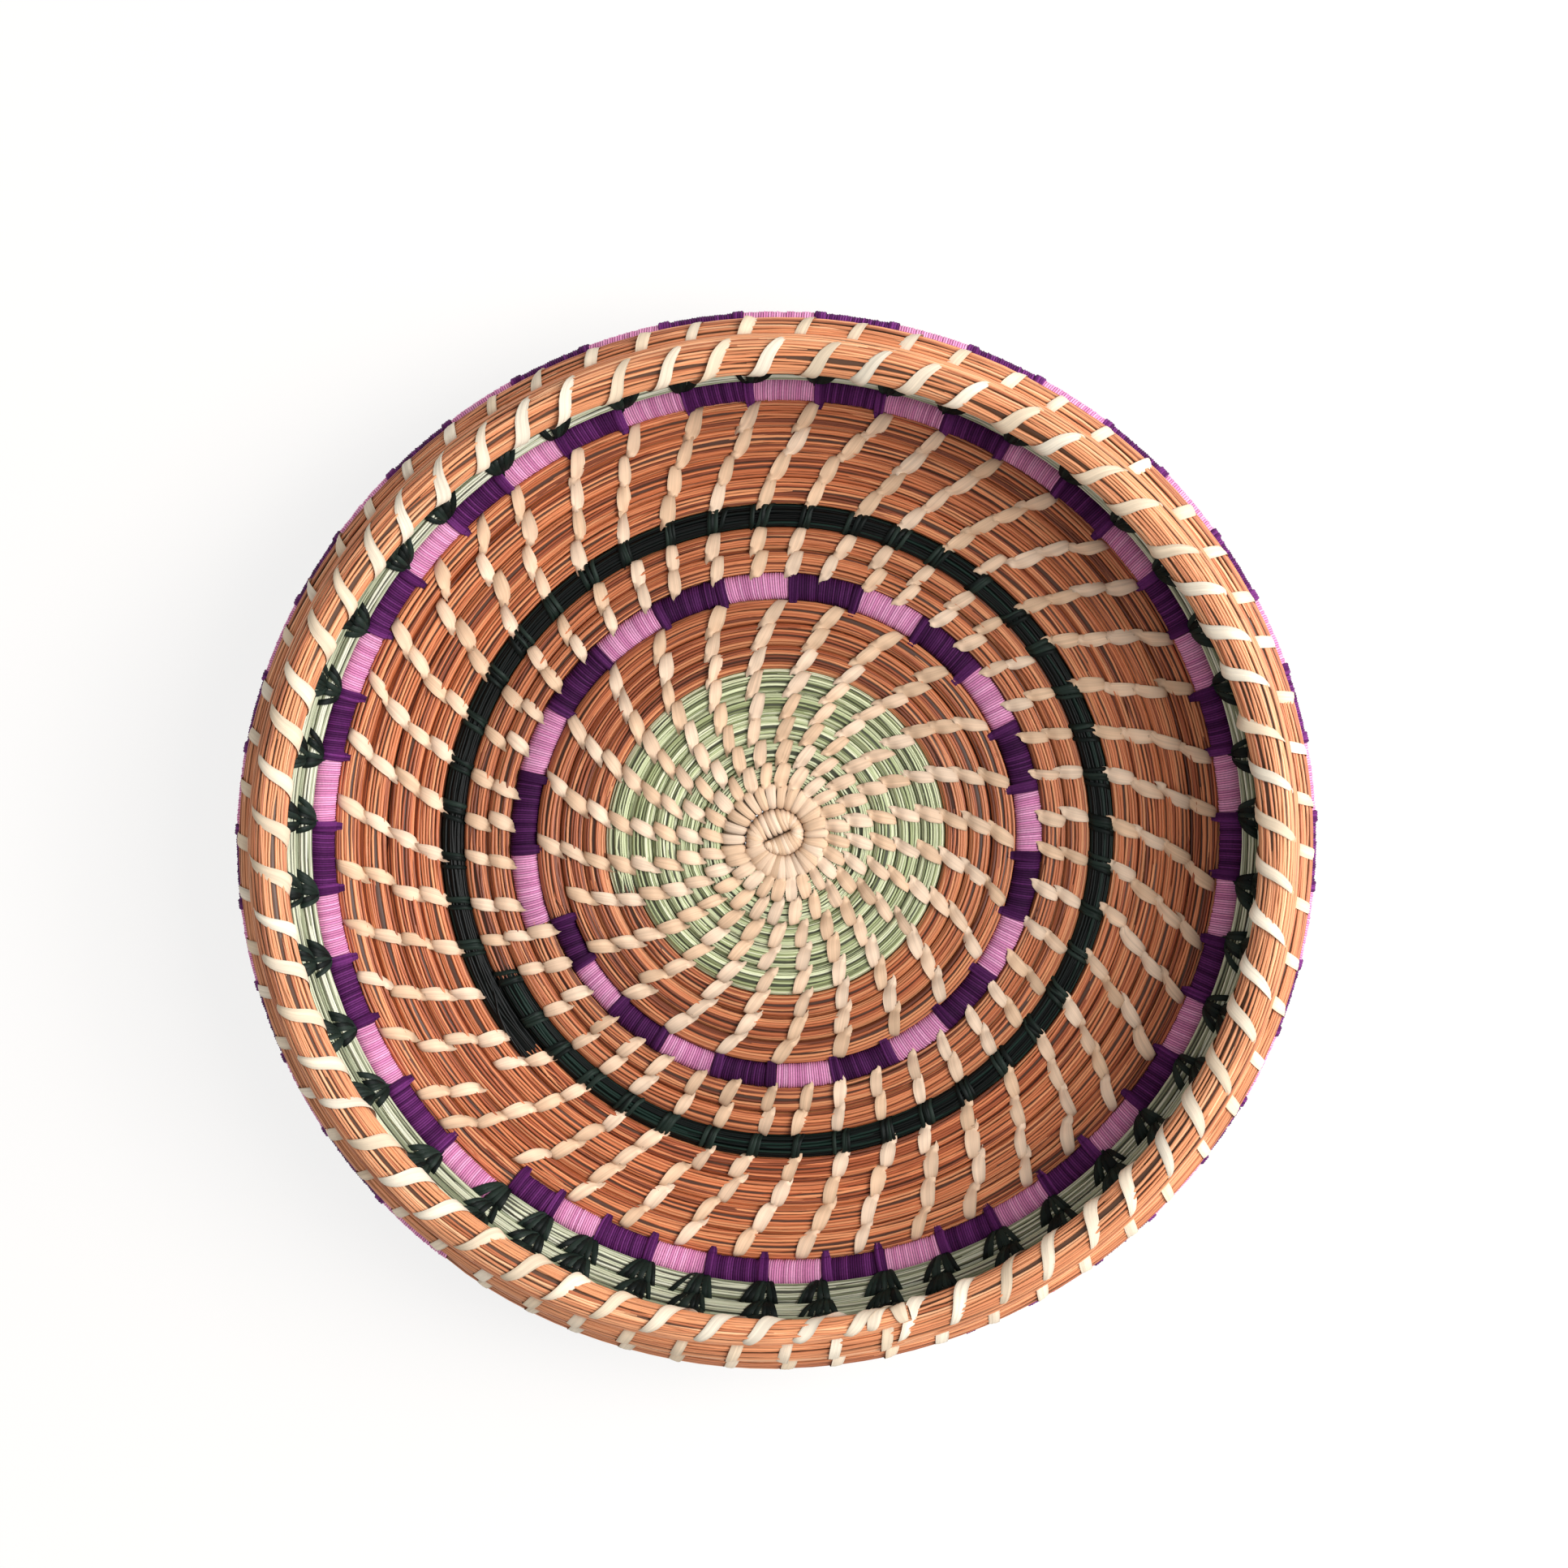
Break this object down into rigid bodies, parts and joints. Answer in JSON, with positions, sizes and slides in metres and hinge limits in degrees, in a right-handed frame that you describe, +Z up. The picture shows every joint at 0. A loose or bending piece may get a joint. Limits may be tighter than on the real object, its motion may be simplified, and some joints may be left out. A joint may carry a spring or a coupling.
{
  "type": "coiled serving basket",
  "caption": "Shallow round serving bowl of coiled needle bundles with a flat floor, colour-banded thread rings, a bulging shoulder and a lashed rim; stands on its floor, holds bread or fruit.",
  "frame": {"origin": "under the middle of the basket's outline, on the plane that it stands on", "axes": "+Z up out of the open mouth; +X to the right and +Y away from the viewer who looks down into the basket with the end of the rim nearest"},
  "size_m": [0.2754, 0.2688, 0.0596],
  "materials": {
    "raffia": "satin",
    "sage_needles": "satin",
    "pale_sage_needles": "satin",
    "brown_needles": "satin",
    "dark_green_needles": "satin",
    "purple_thread": "matte",
    "pink_thread": "matte"
  },
  "bodies": {
    "root": {"start_knot": "raffia", "wrapped_start_coil": "raffia", "sage_centre_coil": "sage_needles", "brown_floor_coil": "brown_needles", "inner_ring_core": "brown_needles", "inner_ring_purple_thread": "purple_thread", "inner_ring_pink_thread": "pink_thread", "brown_middle_coil": "brown_needles", "dark_green_coil": "dark_green_needles", "brown_slope_coil": "brown_needles", "middle_ring_core": "brown_needles", "middle_ring_purple_thread": "purple_thread", "middle_ring_pink_thread": "pink_thread", "sage_shoulder_coil": "pale_sage_needles", "outer_ring_core": "brown_needles", "outer_ring_purple_thread": "purple_thread", "outer_ring_pink_thread": "pink_thread", "brown_rim_coil": "brown_needles", "rim_lashing": "raffia"}
  },
  "joints": []
}
